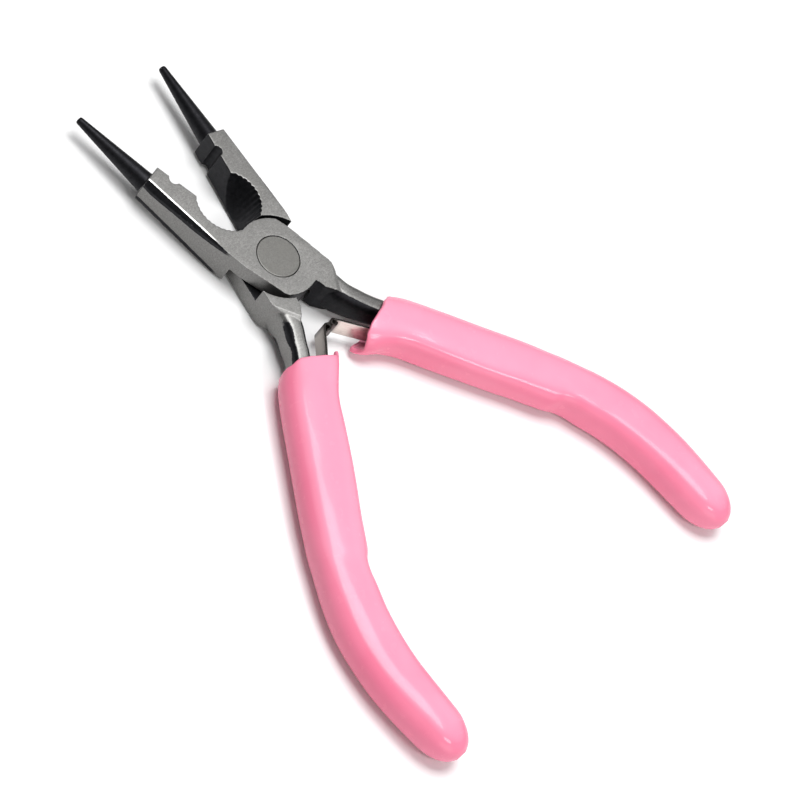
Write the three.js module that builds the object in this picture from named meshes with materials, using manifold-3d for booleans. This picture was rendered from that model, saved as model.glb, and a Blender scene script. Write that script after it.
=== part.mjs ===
// Round nose pliers with flat pads, a crimp notch, a toothed scoop, leaf springs and sleeves.
// Units are millimetres. Origin: pivot axis at the flat underside of the joint. +Y to the tips, +Z up.
// The upper half is drawn with the jaws shut and its handle on +X. The lower half is the same
// forging turned over about the Y axis, with its scoop sloped the other way, so that on both halves
// the scoop is deep at the top face. Both are then swung open to the rest pose.
import * as THREE from 'three';
import { mergeVertices } from 'three/addons/utils/BufferGeometryUtils.js';
import { ConvexGeometry } from 'three/addons/geometries/ConvexGeometry.js';
import Module from 'manifold-3d';

const wasm = await Module();
wasm.setup();

// driving dimensions
const HALF_OPENING = THREE.MathUtils.degToRad(14.6); // each half, from shut to rest
const JOINT_THICKNESS = 6.8;
const MID = JOINT_THICKNESS / 2;
const LAP_GAP = 0.3; // between the two laps
const LAP_RADIUS = 7.45;
const SHOULDER_RADIUS = 7.95;
const RIVET_HEAD_RADIUS = 3.95;
const RIVET_SHANK_RADIUS = 2.9;
const RIVET_CLEARANCE = 0.08;
const PAD_X = -0.15; // pads stay 0.3 mm apart when the tips meet
const JAW_FRONT_Y = 25.1;
const JAW_SLOPE_Y = 10; // from here forward each face of the jaw falls
const JAW_FRONT_DROP = 0.35; // by this much at the jaw's front
const BEVEL_BACK = { x: -6.1, y: 6.5 }; // the outer bevel starts here and widens forward
const BEVEL_FRONT = { x: -3.1, y: 26, edgeX: -4.1, depth: 1.6 };
const ARM_SLOPE_AT = [3.77, -9.8]; // the joint faces end on an oblique line through this point
const ARM_SLOPE_TURN = 40.1; // degrees of that line from +X
const NOTCH_CENTRE_Y = 21.62;
const NOTCH_RADIUS = 1.03;
const NOTCH_INSET = 0.22; // its centre lies this many radii inside the pad's edge
const SCOOP_CENTRE = [2.8, 12.3]; // the toothed scoop's arc on the top face
const SCOOP_RADIUS = 5.6;
const SCOOP_LAND = 0.1; // how far its foot stays inside the pad's edge on the underside
const TOOTH_COUNT = 11;
const TOOTH_DEPTH = 0.3;
const NOSE_BASE = { x: -2.1, y: 24.4, radius: 1.95 };
const NOSE_TIP = { y: 40.5, radius: 0.66 };
const UPPER_TIP_X = 0.2; // the upper cone leans in a little more than the lower one
const LOWER_TIP_X = -0.74;
const SLEEVE_HALF_HEIGHT = 3.8;
const SLEEVE_WALL = 0.9;
const SLEEVE_WALL_Z = 1.0;
const SLEEVE_CUT_X = 0.15; // the inner wall of the sleeve's mouth stops here
const SPRING_THICKNESS = 0.4;
const SPRING_HALF_WIDTH = 2.0;
const SPRING_ROOT = [7.55, -30];
const SPRING_TIP = [-2.773, -14.055]; // centre of the rolled end
const SPRING_ROLL_RADIUS = 0.4;
const SPRING_BOW = 0.5;
const SPRING_TURN = 20; // degrees of the arm's inner normal from +X at the spring's root
const SPRING_RIVET_RADIUS = 0.75;
const SPRING_RIVET_HEAD_RADIUS = 1.4;
const SPRING_RIVET_CLEARANCE = 0.06; // round the rivet, in the arm
const SPRING_HOLE_CLEARANCE = 0.35; // round the rivet, in the leaf
const RIVET_HEAD_HEIGHT = 0.45;
const RIVET_TAPER_HEIGHT = 1.5;
const BEYOND = 1; // cutters reach this far past what they cut

// ---------- geometry helpers ----------

function solidOf(geometry) {
  const bare = geometry.clone();
  bare.deleteAttribute('normal');
  bare.deleteAttribute('uv');
  const welded = mergeVertices(bare, 1e-5);
  const vertProperties = new Float32Array(welded.attributes.position.array);
  const triVerts = new Uint32Array(welded.index.array);
  return new wasm.Manifold(new wasm.Mesh({ numProp: 3, vertProperties, triVerts }));
}

function geometryOf(solid) {
  const mesh = solid.getMesh();
  const positions = new Float32Array(mesh.numVert * 3);
  for (let i = 0; i < mesh.numVert; i += 1) {
    positions[3 * i] = mesh.vertProperties[mesh.numProp * i];
    positions[3 * i + 1] = mesh.vertProperties[mesh.numProp * i + 1];
    positions[3 * i + 2] = mesh.vertProperties[mesh.numProp * i + 2];
  }
  const geometry = new THREE.BufferGeometry();
  geometry.setAttribute('position', new THREE.BufferAttribute(positions, 3));
  geometry.setIndex(new THREE.BufferAttribute(new Uint32Array(mesh.triVerts), 1));
  geometry.computeVertexNormals();
  return geometry;
}

function union(a, b) {
  return wasm.Manifold.union(a, b);
}

function subtract(a, b) {
  return wasm.Manifold.difference(a, b);
}

function arc(cx, cy, radius, fromDeg, toDeg, steps) {
  const points = [];
  for (let i = 0; i <= steps; i += 1) {
    const angle = THREE.MathUtils.degToRad(fromDeg + ((toDeg - fromDeg) * i) / steps);
    points.push([cx + radius * Math.cos(angle), cy + radius * Math.sin(angle)]);
  }
  return points;
}

// an extruded outline that moves by `lean` along X for each millimetre of height above `uprightZ`
function plate(outline, z0, z1, lean = 0, uprightZ = 0) {
  const shape = new THREE.Shape(outline.map(([x, y]) => new THREE.Vector2(x, y)));
  const geometry = new THREE.ExtrudeGeometry(shape, { depth: z1 - z0, bevelEnabled: false });
  geometry.translate(0, 0, z0);
  geometry.applyMatrix4(new THREE.Matrix4().set(1, 0, lean, -lean * uprightZ, 0, 1, 0, 0, 0, 0, 1, 0, 0, 0, 0, 1));
  return solidOf(geometry);
}

function hull(points) {
  return solidOf(new ConvexGeometry(points.map(([x, y, z]) => new THREE.Vector3(x, y, z))));
}

// one ring of a swept oval body: width direction at `turn` degrees in plan, height along Z
function ring({ x, y, turn, a, b }, count, squareness, z = MID) {
  const direction = THREE.MathUtils.degToRad(turn);
  const power = 2 / squareness;
  const points = [];
  for (let i = 0; i < count; i += 1) {
    const t = (2 * Math.PI * i) / count;
    const u = a * Math.sign(Math.cos(t)) * Math.abs(Math.cos(t)) ** power;
    const v = b * Math.sign(Math.sin(t)) * Math.abs(Math.sin(t)) ** power;
    points.push([x + u * Math.cos(direction), y + u * Math.sin(direction), z + v]);
  }
  return points;
}

function loft(rings) {
  const count = rings[0].length;
  const positions = rings.flat(2);
  const index = [];
  for (let r = 0; r + 1 < rings.length; r += 1) {
    for (let i = 0; i < count; i += 1) {
      const a = r * count + i;
      const b = r * count + ((i + 1) % count);
      index.push(a, b, a + count);
      index.push(b, b + count, a + count);
    }
  }
  for (const [base, flip] of [[0, true], [(rings.length - 1) * count, false]]) {
    const centre = positions.length / 3;
    const ringPoints = rings[base / count];
    for (let k = 0; k < 3; k += 1) {
      positions.push(ringPoints.reduce((sum, p) => sum + p[k], 0) / count);
    }
    for (let i = 0; i < count; i += 1) {
      const a = base + i;
      const b = base + ((i + 1) % count);
      index.push(...(flip ? [centre, b, a] : [centre, a, b]));
    }
  }
  const geometry = new THREE.BufferGeometry();
  geometry.setAttribute('position', new THREE.Float32BufferAttribute(positions, 3));
  if (signedVolume(positions, index) < 0) {
    index.reverse();
  }
  geometry.setIndex(index);
  return solidOf(geometry);
}

function signedVolume(positions, index) {
  const corner = (i) => new THREE.Vector3().fromArray(positions, 3 * i);
  let total = 0;
  for (let i = 0; i < index.length; i += 3) {
    total += corner(index[i]).dot(corner(index[i + 1]).cross(corner(index[i + 2])));
  }
  return total / 6;
}

// a round body from a [radius, height] profile that starts and ends on its own axis, along +Z
function turned(profile, segments) {
  const geometry = new THREE.LatheGeometry(profile.map(([r, h]) => new THREE.Vector2(r, h)), segments);
  geometry.rotateX(Math.PI / 2);
  return geometry;
}

// ---------- one half: jaw, lap, arm ----------

function headOutline() {
  const notchHalf = THREE.MathUtils.radToDeg(Math.acos(-NOTCH_INSET));
  const notchX = PAD_X + NOTCH_INSET * NOTCH_RADIUS;
  return [
    [PAD_X, JAW_FRONT_Y],
    [-4.1, JAW_FRONT_Y],
    [-4.5, 22.7],
    [-5.0, 18.2],
    [-5.55, 13.5],
    [-5.95, 8.6],
    [-6.1, 4.6],
    [-6.07, 2.5],
    [-5.7, -1.5],
    [-5.5, -4.5],
    ...arc(0, 0, LAP_RADIUS, -133, -84, 7),
    [0.9, -7.9],
    [0.95, -9.4],
    [1.7, -11.0],
    [1.7, -12.2],
    [3.1, -11.2],
    [4.7, -9.8],
    [5.97, -7.95],
    [6.2, -5.3],
    [6.4, -0.7],
    [6.45, 2.2],
    ...arc(0, 0, LAP_RADIUS, 33, 80, 7),
    [0.35, 7.44],
    [PAD_X, 7.445],
    ...arc(notchX, NOTCH_CENTRE_Y, NOTCH_RADIUS, -notchHalf, notchHalf - 360, 10),
  ];
}

const armStations = [
  { x: 3.5, y: -5.5, turn: 0, a: 2.2, b: 3.2 },
  { x: 3.45, y: -9.5, turn: 0, a: 2.05, b: 3.2 },
  { x: 3.5, y: -12.3, turn: 8, a: 1.9, b: 3.1 },
  { x: 4.2, y: -14.8, turn: 20, a: 1.8, b: 2.9 },
  { x: 5.0, y: -17.1, turn: 27, a: 1.75, b: 2.65 },
  { x: 6.25, y: -20, turn: 26, a: 1.75, b: 2.45 },
  { x: 8.2, y: -24.5, turn: 22, a: 1.8, b: 2.45 },
  { x: 10.2, y: -30, turn: 20, a: 1.95, b: 2.45 },
  { x: 13.4, y: -40, turn: 20, a: 2.0, b: 2.45 },
  { x: 16.5, y: -49.5, turn: 19.5, a: 2.0, b: 2.45 },
  { x: 18.2, y: -54.8, turn: 15.5, a: 2.0, b: 2.4 },
  { x: 19.1, y: -58.5, turn: 12, a: 2.0, b: 2.4 },
  { x: 19.85, y: -66, turn: -0.5, a: 2.0, b: 2.4 },
  { x: 19.2, y: -74, turn: -9.5, a: 1.9, b: 2.3 },
  { x: 18.3, y: -78, turn: -14.5, a: 1.8, b: 2.2 },
  { x: 17.4, y: -81.2, turn: -17, a: 1.3, b: 1.6 },
];

// the pivot rivet with its radii grown by `clearance` and its ends by `beyond`
function rivetShape(clearance, beyond) {
  const head = RIVET_HEAD_RADIUS + clearance;
  const shank = RIVET_SHANK_RADIUS + clearance;
  const top = JOINT_THICKNESS;
  const profile = [
    [0, -beyond],
    [head, -beyond],
    [head, RIVET_HEAD_HEIGHT],
    [shank, RIVET_TAPER_HEIGHT],
    [shank, top - RIVET_TAPER_HEIGHT],
    [head, top - RIVET_HEAD_HEIGHT],
    [head, top + beyond],
    [0, top + beyond],
  ];
  return solidOf(turned(profile, 40));
}

// the toothed scoop between the jaws: an arc at the top face whose wall slopes out to the pad's edge
function scoopCutters(turnedOver) {
  const slope = (SCOOP_RADIUS - SCOOP_CENTRE[0] + PAD_X + SCOOP_LAND) / JOINT_THICKNESS;
  const lean = turnedOver ? slope : -slope;
  const topZ = turnedOver ? 0 : JOINT_THICKNESS;
  const through = (outline) => plate(outline, -BEYOND, JOINT_THICKNESS + BEYOND, lean, topZ);
  const open = 0.05; // closes the arc past the pad
  const from = 240;
  const to = 120;
  const cutters = [through([[open, 7.45], ...arc(...SCOOP_CENTRE, SCOOP_RADIUS, from, to, 24), [open, 17.15]])];
  const first = 132;
  const last = 228;
  const halfWidth = 0.48;
  const mouth = SCOOP_RADIUS - 0.3;
  for (let i = 0; i < TOOTH_COUNT; i += 1) {
    const angle = THREE.MathUtils.degToRad(first + ((last - first) * i) / (TOOTH_COUNT - 1));
    const radial = [Math.cos(angle), Math.sin(angle)];
    const at = (r, s) => [
      SCOOP_CENTRE[0] + radial[0] * r - radial[1] * s,
      SCOOP_CENTRE[1] + radial[1] * r + radial[0] * s,
    ];
    cutters.push(through([at(mouth, halfWidth), at(SCOOP_RADIUS + TOOTH_DEPTH, 0), at(mouth, -halfWidth)]));
  }
  return cutters;
}

function nose(tipX) {
  const length = Math.hypot(tipX - NOSE_BASE.x, NOSE_TIP.y - NOSE_BASE.y);
  const r0 = NOSE_BASE.radius;
  const r1 = NOSE_TIP.radius;
  const profile = [
    [0, 0],
    [r0, 0],
    [r1, length - 0.28],
    [r1 * 0.7, length - 0.07],
    [0, length],
  ];
  const geometry = turned(profile, 24);
  geometry.rotateX(-Math.PI / 2);
  geometry.rotateZ(Math.atan2(NOSE_BASE.x - tipX, NOSE_TIP.y - NOSE_BASE.y));
  geometry.translate(NOSE_BASE.x, NOSE_BASE.y, MID);
  return solidOf(geometry);
}

// the space in which the other half's lap turns, from below up to `z`
function lapSpace(z) {
  const profile = [[0, -BEYOND], [SHOULDER_RADIUS, -BEYOND], [SHOULDER_RADIUS, z], [0, z]];
  return solidOf(turned(profile, 72));
}

// the cuts on the top face of a half, or with `flip` the same cuts on its underside
function faceCutters(flip) {
  const above = 4;
  const side = 12;
  const z = (height) => (flip ? -height : JOINT_THICKNESS + height);
  const front = 32;
  const drop = (JAW_FRONT_DROP * (front - JAW_SLOPE_Y)) / (JAW_FRONT_Y - JAW_SLOPE_Y);
  const slope = [];
  for (const x of [-side, side]) {
    slope.push([x, JAW_SLOPE_Y, z(0)], [x, front, z(-drop)]);
    slope.push([x, front, z(above)], [x, JAW_SLOPE_Y, z(above)]);
  }
  const outer = -9;
  const bevel = [
    [BEVEL_BACK.x, BEVEL_BACK.y, z(0)],
    [BEVEL_BACK.x, BEVEL_BACK.y, z(BEYOND)],
    [outer, BEVEL_BACK.y, z(BEYOND)],
    [outer, BEVEL_BACK.y, z(0)],
    [BEVEL_FRONT.x, BEVEL_FRONT.y, z(0)],
    [BEVEL_FRONT.x, BEVEL_FRONT.y, z(BEYOND)],
    [outer, BEVEL_FRONT.y, z(BEYOND)],
    [BEVEL_FRONT.edgeX, BEVEL_FRONT.y, z(-BEVEL_FRONT.depth)],
    [outer, BEVEL_FRONT.y, z(-BEVEL_FRONT.depth)],
  ];
  const turn = THREE.MathUtils.degToRad(ARM_SLOPE_TURN);
  const armSlope = [];
  for (const s of [-9, 9]) {
    for (const [away, height] of [[0, 0], [0, 5], [12, 5], [12, -5]]) {
      const x = ARM_SLOPE_AT[0] + s * Math.cos(turn) + away * Math.sin(turn);
      const y = ARM_SLOPE_AT[1] + s * Math.sin(turn) - away * Math.cos(turn);
      armSlope.push([x, y, z(height)]);
    }
  }
  return [hull(slope), hull(bevel), hull(armSlope)];
}

function halfForging(tipX, turnedOver) {
  let head = plate(headOutline(), 0, JOINT_THICKNESS);
  const cutters = [
    lapSpace(MID + LAP_GAP / 2),
    ...faceCutters(false),
    ...faceCutters(true),
    ...scoopCutters(turnedOver),
    rivetShape(RIVET_CLEARANCE, BEYOND),
  ];
  for (const cutter of cutters) {
    head = subtract(head, cutter);
  }
  const armBody = loft(armStations.map((station) => ring(station, 20, 3)));
  const arm = subtract(armBody, lapSpace(JOINT_THICKNESS + BEYOND));
  return union(union(head, nose(tipX)), arm);
}

// ---------- sleeve ----------

const sleeveStations = [
  { x: 3.7, y: -18.6, turn: 2, a: 5.8, b: SLEEVE_HALF_HEIGHT },
  { x: 5.0, y: -21.3, turn: 14, a: 5.4, b: SLEEVE_HALF_HEIGHT },
  { x: 7.0, y: -25, turn: 21, a: 5.05, b: SLEEVE_HALF_HEIGHT },
  { x: 8.95, y: -30, turn: 21, a: 5.15, b: SLEEVE_HALF_HEIGHT },
  { x: 12.8, y: -40, turn: 21, a: 5.2, b: SLEEVE_HALF_HEIGHT },
  { x: 14.75, y: -45, turn: 21, a: 5.15, b: SLEEVE_HALF_HEIGHT },
  { x: 16.35, y: -49, turn: 20, a: 4.95, b: SLEEVE_HALF_HEIGHT },
  { x: 17.45, y: -52, turn: 18.5, a: 4.7, b: SLEEVE_HALF_HEIGHT },
  { x: 18.35, y: -55, turn: 15.5, a: 4.65, b: SLEEVE_HALF_HEIGHT },
  { x: 19.05, y: -58, turn: 12, a: 4.75, b: SLEEVE_HALF_HEIGHT },
  { x: 19.7, y: -62, turn: 6, a: 4.85, b: SLEEVE_HALF_HEIGHT },
  { x: 19.9, y: -66, turn: -0.5, a: 4.9, b: SLEEVE_HALF_HEIGHT },
  { x: 19.7, y: -70, turn: -5, a: 4.9, b: SLEEVE_HALF_HEIGHT },
  { x: 19.2, y: -74, turn: -9.5, a: 4.85, b: SLEEVE_HALF_HEIGHT },
  { x: 18.3, y: -78, turn: -14.5, a: 4.75, b: SLEEVE_HALF_HEIGHT },
  { x: 17.2, y: -82, turn: -17, a: 4.6, b: SLEEVE_HALF_HEIGHT },
  { x: 16.35, y: -85, turn: -17, a: 4.25, b: 3.65 },
  { x: 15.75, y: -87.3, turn: -17, a: 3.4, b: 3.1 },
  { x: 15.35, y: -88.8, turn: -17, a: 2.3, b: 2.2 },
  { x: 15.1, y: -89.6, turn: -17, a: 0.95, b: 0.95 },
];

function sleeve() {
  const outside = loft(sleeveStations.map((station) => ring(station, 22, 2.3)));
  const hollowStations = 16;
  const inner = sleeveStations.slice(0, hollowStations).map((station) => ({
    ...station,
    a: station.a - SLEEVE_WALL,
    b: station.b - SLEEVE_WALL_Z,
  }));
  inner.unshift({ x: 2.9, y: -17, turn: 2, a: inner[0].a, b: inner[0].b });
  inner.push({ x: 16.8, y: -83.6, turn: -17, a: 2.3, b: 1.8 });
  const hollow = subtract(outside, loft(inner.map((station) => ring(station, 20, 2.8))));
  // the inner wall is cut back at the mouth: the spring comes out there and the handles can close
  const size = 20;
  const cut = new THREE.BoxGeometry(size, size, size).translate(SLEEVE_CUT_X - size / 2, -size, MID);
  return subtract(hollow, solidOf(cut));
}

// ---------- leaf spring and its rivet ----------

function springCentreline() {
  const [rx, ry] = SPRING_ROOT;
  const [cx, cy] = SPRING_TIP;
  const chord = Math.atan2(cy - ry, cx - rx);
  // the leaf meets the roll on the side of the arm
  const ex = cx + SPRING_ROLL_RADIUS * Math.sin(chord);
  const ey = cy - SPRING_ROLL_RADIUS * Math.cos(chord);
  const steps = 8;
  const points = [[rx + 0.55, ry - 1.6]];
  for (let i = 0; i <= steps; i += 1) {
    const t = i / steps;
    const bow = SPRING_BOW * Math.sin(Math.PI * t) ** 1.2;
    const x = rx + (ex - rx) * t - bow * Math.sin(chord);
    const y = ry + (ey - ry) * t + bow * Math.cos(chord);
    points.push([x, y]);
  }
  const start = THREE.MathUtils.radToDeg(chord) - 90;
  return [...points, ...arc(cx, cy, SPRING_ROLL_RADIUS, start, start + 275, 12).slice(1)];
}

function leafSpring() {
  const line = springCentreline();
  const left = [];
  const right = [];
  line.forEach(([x, y], i) => {
    const [px, py] = line[Math.max(i - 1, 0)];
    const [qx, qy] = line[Math.min(i + 1, line.length - 1)];
    const length = Math.hypot(qx - px, qy - py);
    const nx = ((py - qy) / length) * (SPRING_THICKNESS / 2);
    const ny = ((qx - px) / length) * (SPRING_THICKNESS / 2);
    left.push([x + nx, y + ny]);
    right.unshift([x - nx, y - ny]);
  });
  const strip = plate([...left, ...right], MID - SPRING_HALF_WIDTH, MID + SPRING_HALF_WIDTH);
  return subtract(strip, springRivetBody(SPRING_RIVET_RADIUS + SPRING_HOLE_CLEARANCE, -3, 3));
}

// a cylinder across the arm at the spring's root, from `from` to `to` along the arm's inner normal
function springRivetBody(radius, from, to) {
  const geometry = turned([[0, from], [radius, from], [radius, to], [0, to]], 16);
  geometry.rotateY(Math.PI / 2);
  geometry.rotateZ(THREE.MathUtils.degToRad(SPRING_TURN));
  geometry.translate(SPRING_ROOT[0], SPRING_ROOT[1], MID);
  return solidOf(geometry);
}

function springRivet() {
  const shank = springRivetBody(SPRING_RIVET_RADIUS, -0.9, 2.6);
  return union(shank, springRivetBody(SPRING_RIVET_HEAD_RADIUS, -1.15, -0.65));
}

// ---------- assembly ----------

function paint(name, color, metalness, roughness) {
  return new THREE.MeshStandardMaterial({ name, color, metalness, roughness });
}

const steel = paint('satin_steel', 0x9a9a98, 0.9, 0.42);
const springSteel = paint('spring_steel', 0xb9b4aa, 0.9, 0.35);
const pink = paint('pink_plastic', 0xf79ab8, 0, 0.3);

const pliers = new THREE.Group();
pliers.name = 'round_nose_pliers';

function add(name, geometry, material) {
  const mesh = new THREE.Mesh(geometry, material);
  mesh.name = name;
  pliers.add(mesh);
}

// swings a piece of the upper half from shut to rest
function upper(geometry) {
  return geometry.clone().rotateZ(HALF_OPENING);
}

// turns a piece over for the lower half and swings it the other way
function lower(geometry) {
  const turnedOver = geometry.clone().translate(0, 0, -MID).rotateY(Math.PI).translate(0, 0, MID);
  return turnedOver.rotateZ(-HALF_OPENING);
}

const rivetHole = springRivetBody(SPRING_RIVET_RADIUS + SPRING_RIVET_CLEARANCE, 0, 2.9);
const upperForging = geometryOf(subtract(halfForging(UPPER_TIP_X, false), rivetHole));
const lowerForging = geometryOf(subtract(halfForging(LOWER_TIP_X, true), rivetHole));
const grip = geometryOf(sleeve());
const leaf = geometryOf(leafSpring());
const leafRivet = geometryOf(springRivet());

add('upper_half', upper(upperForging), steel);
add('lower_half', lower(lowerForging), steel);
add('pivot_rivet', geometryOf(rivetShape(0, 0)), steel);
add('right_leaf_spring', upper(leaf), springSteel);
add('left_leaf_spring', lower(leaf), springSteel);
add('right_spring_rivet', upper(leafRivet), steel);
add('left_spring_rivet', lower(leafRivet), steel);
add('right_grip_sleeve', upper(grip), pink);
add('left_grip_sleeve', lower(grip), pink);

export default pliers;
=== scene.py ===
# Round nose pliers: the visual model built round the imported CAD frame, for Blender 4.5.
# Each half is modelled in millimetres as it lies when shut, with its handle on +X, then placed:
# the upper half is swung open, and the lower half is turned over about Y and swung the other way.
import math

import bmesh
import bpy
import numpy as np
from mathutils import Matrix, Vector, noise


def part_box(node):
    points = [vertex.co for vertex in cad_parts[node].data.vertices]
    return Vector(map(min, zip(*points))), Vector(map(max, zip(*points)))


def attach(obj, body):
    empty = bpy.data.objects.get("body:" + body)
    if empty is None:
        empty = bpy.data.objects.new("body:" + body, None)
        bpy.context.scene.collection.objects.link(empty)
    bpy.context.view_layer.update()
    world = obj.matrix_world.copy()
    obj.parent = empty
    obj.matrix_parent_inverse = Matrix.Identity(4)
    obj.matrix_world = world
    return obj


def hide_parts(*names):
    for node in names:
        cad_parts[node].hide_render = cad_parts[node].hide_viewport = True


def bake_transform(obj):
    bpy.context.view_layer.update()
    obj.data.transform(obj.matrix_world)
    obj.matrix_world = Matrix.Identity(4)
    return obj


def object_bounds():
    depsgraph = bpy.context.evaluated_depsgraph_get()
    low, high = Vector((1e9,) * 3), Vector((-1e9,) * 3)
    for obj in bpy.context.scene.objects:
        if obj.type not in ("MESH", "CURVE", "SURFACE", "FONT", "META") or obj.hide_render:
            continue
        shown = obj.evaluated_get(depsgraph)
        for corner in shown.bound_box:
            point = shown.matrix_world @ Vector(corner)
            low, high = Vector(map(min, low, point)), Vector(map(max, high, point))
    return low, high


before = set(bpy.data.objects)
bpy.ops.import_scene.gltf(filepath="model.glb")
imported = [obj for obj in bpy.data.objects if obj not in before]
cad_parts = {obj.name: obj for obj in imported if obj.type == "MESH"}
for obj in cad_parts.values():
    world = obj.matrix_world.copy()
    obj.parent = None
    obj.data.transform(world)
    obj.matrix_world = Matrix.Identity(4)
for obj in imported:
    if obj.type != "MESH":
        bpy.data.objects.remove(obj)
cad_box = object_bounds()

# ---------- dimensions, in millimetres ----------

MM = 0.001
HALF_OPENING = math.radians(14.6)
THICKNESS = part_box("pivot_rivet")[1].z / MM
MID = THICKNESS / 2
LAP_GAP = 0.3
LAP_RADIUS = 7.45
SHOULDER_RADIUS = 7.95
RIVET_RADIUS = 3.95
RIVET_HOLE_RADIUS = 4.0
JAW_FRONT_Y = 25.1
NOSE_BASE = (-2.1, 24.4, 1.95)  # x, y, radius
NOSE_TIP_Y = 40.5
NOSE_TIP_RADIUS = 0.66
TIP_X = {"upper": 0.2, "lower": -0.74}

PAD_X = -0.15  # the pads' flat stands this far back from the middle
NOTCH_Y = 21.62
NOTCH_RADIUS = 1.03
NOTCH_INSET = 0.22  # of the notch's radius

SCOOP_CENTRE = (2.8, 12.3)
SCOOP_RADIUS = 5.6
SCOOP_LAND = 0.1
SCOOP_ENDS_Y = (7.45, 17.15)
SCOOP_OPEN_X = 0.05  # past the pads' flat, so that the cut comes out clean
TOOTH_ANGLES = [132 + 9.6 * i for i in range(11)]
TOOTH_HALF_ANGLE = 4.4
TOOTH_DEPTH = {"upper": 0.14, "lower": 0.22}
# how much of their depth the teeth keep: depth below the scoop's deep face, share
TOOTH_FADE = ((-1, 1), (0, 1), (1.7, 0.35), (4.0, 0.15), (THICKNESS + 1, 0.1))

BEVEL_START = (-6.1, 6.5)  # where the jaw's outer bevel begins at the face
BEVEL_END = (-3.1, 26)
BEVEL_DROP = 1.6  # below the face for 1 mm outward
FACE_SLOPE_Y = (10, 32)
FACE_DROP = 0.35  # of the sloping face, at the jaw's front
ARM_CUT_FROM = (3.77, -9.8)
ARM_CUT_TURN = math.radians(40.1)

VOXEL = 0.1
SOFTEN_ROUNDS = 2
KEEP_RATIO = 0.36

PLACE = {
    "upper": Matrix.Scale(MM, 4) @ Matrix.Rotation(HALF_OPENING, 4, "Z"),
    "lower": Matrix.Scale(MM, 4)
    @ Matrix.Rotation(-HALF_OPENING, 4, "Z")
    @ Matrix.Translation((0, 0, MID))
    @ Matrix.Rotation(math.pi, 4, "Y")
    @ Matrix.Translation((0, 0, -MID)),
}
BODY = {"upper": "upper_body", "lower": "lower_body"}
HAND = {"upper": "right", "lower": "left"}

# ---------- mesh helpers ----------


def spline(rows, steps):
    """Rows of numbers resampled along a Catmull-Rom curve, with `steps` spans between two rows."""
    rows = np.array(rows, float)
    padded = np.vstack([2 * rows[0] - rows[1], rows, 2 * rows[-1] - rows[-2]])
    out = []
    for i in range(1, len(padded) - 2):
        p0, p1, p2, p3 = padded[i - 1 : i + 3]
        for k in range(steps):
            t = k / steps
            out.append(
                0.5 * (2 * p1 + (p2 - p0) * t + (2 * p0 - 5 * p1 + 4 * p2 - p3) * t**2
                       + (3 * p1 - p0 - 3 * p2 + p3) * t**3)
            )
    out.append(padded[-2])
    return np.array(out)


def arc(cx, cy, radius, start, end, steps):
    angles = np.radians(np.linspace(start, end, steps + 1))
    return [(cx + radius * math.cos(a), cy + radius * math.sin(a)) for a in angles]


def linked(name, data):
    obj = bpy.data.objects.new(name, data)
    bpy.context.scene.collection.objects.link(obj)
    return obj


def mesh_from(bm, name):
    mesh = bpy.data.meshes.new(name)
    bm.to_mesh(mesh)
    bm.free()
    return linked(name, mesh)


def mesh_object(name, vertices, faces):
    mesh = bpy.data.meshes.new(name)
    mesh.from_pydata([tuple(v) for v in vertices], [], faces)
    bm = bmesh.new()
    bm.from_mesh(mesh)
    bmesh.ops.remove_doubles(bm, verts=bm.verts, dist=1e-5)
    bmesh.ops.recalc_face_normals(bm, faces=bm.faces)
    bm.to_mesh(mesh)
    bm.free()
    return linked(name, mesh)


def plate(name, outline, z0, z1):
    """A flat body between two heights, from its outline."""
    count = len(outline)
    vertices = [(x, y, z0) for x, y in outline] + [(x, y, z1) for x, y in outline]
    faces = [tuple(range(count)), tuple(range(count, 2 * count))]
    faces += [(i, (i + 1) % count, count + (i + 1) % count, count + i) for i in range(count)]
    return mesh_object(name, vertices, faces)


def tube(name, rings):
    """A closed body through rings of equal length. The first and last ring are filled."""
    count = len(rings[0])
    vertices = [p for ring in rings for p in ring]
    faces = [tuple(range(count)), tuple(range(len(vertices) - count, len(vertices)))]
    for r in range(len(rings) - 1):
        for i in range(count):
            j = (i + 1) % count
            faces.append((r * count + i, r * count + j, (r + 1) * count + j, (r + 1) * count + i))
    return mesh_object(name, vertices, faces)


def lathe(name, profile, segments):
    """A body of revolution about Z, from (radius, height) pairs."""
    angles = np.linspace(0, 2 * math.pi, segments, endpoint=False)
    rings = [[(r * math.cos(a), r * math.sin(a), h) for a in angles] for r, h in profile]
    return tube(name, rings)


def convex(name, points):
    """The convex body round some points."""
    bm = bmesh.new()
    for p in points:
        bm.verts.new(p)
    bmesh.ops.convex_hull(bm, input=bm.verts)
    return mesh_from(bm, name)


def apply_modifiers(obj):
    graph = bpy.context.evaluated_depsgraph_get()
    made = bpy.data.meshes.new_from_object(obj.evaluated_get(graph))
    obj.modifiers.clear()
    obj.data = made


def cut(obj, cutter):
    """Takes the cutter's shape out of the object, and removes the cutter."""
    modifier = obj.modifiers.new("cut", "BOOLEAN")
    modifier.operation = "DIFFERENCE"
    modifier.solver = "EXACT"
    modifier.object = cutter
    apply_modifiers(obj)
    bpy.data.objects.remove(cutter)
    return obj


def joined(name, parts):
    """One object holding the meshes of several, which are removed."""
    bm = bmesh.new()
    for part in parts:
        bm.from_mesh(part.data)
        bpy.data.objects.remove(part)
    return mesh_from(bm, name)


def smooth_shaded(obj):
    obj.data.polygons.foreach_set("use_smooth", [True] * len(obj.data.polygons))


def vertex_values(mesh, what):
    values = np.zeros(len(mesh.vertices) * 3, np.float32)
    mesh.vertices.foreach_get(what, values)
    return values.reshape(-1, 3).astype(float)


def coordinates(mesh):
    return vertex_values(mesh, "co")


def normals(mesh):
    return vertex_values(mesh, "normal")


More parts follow.
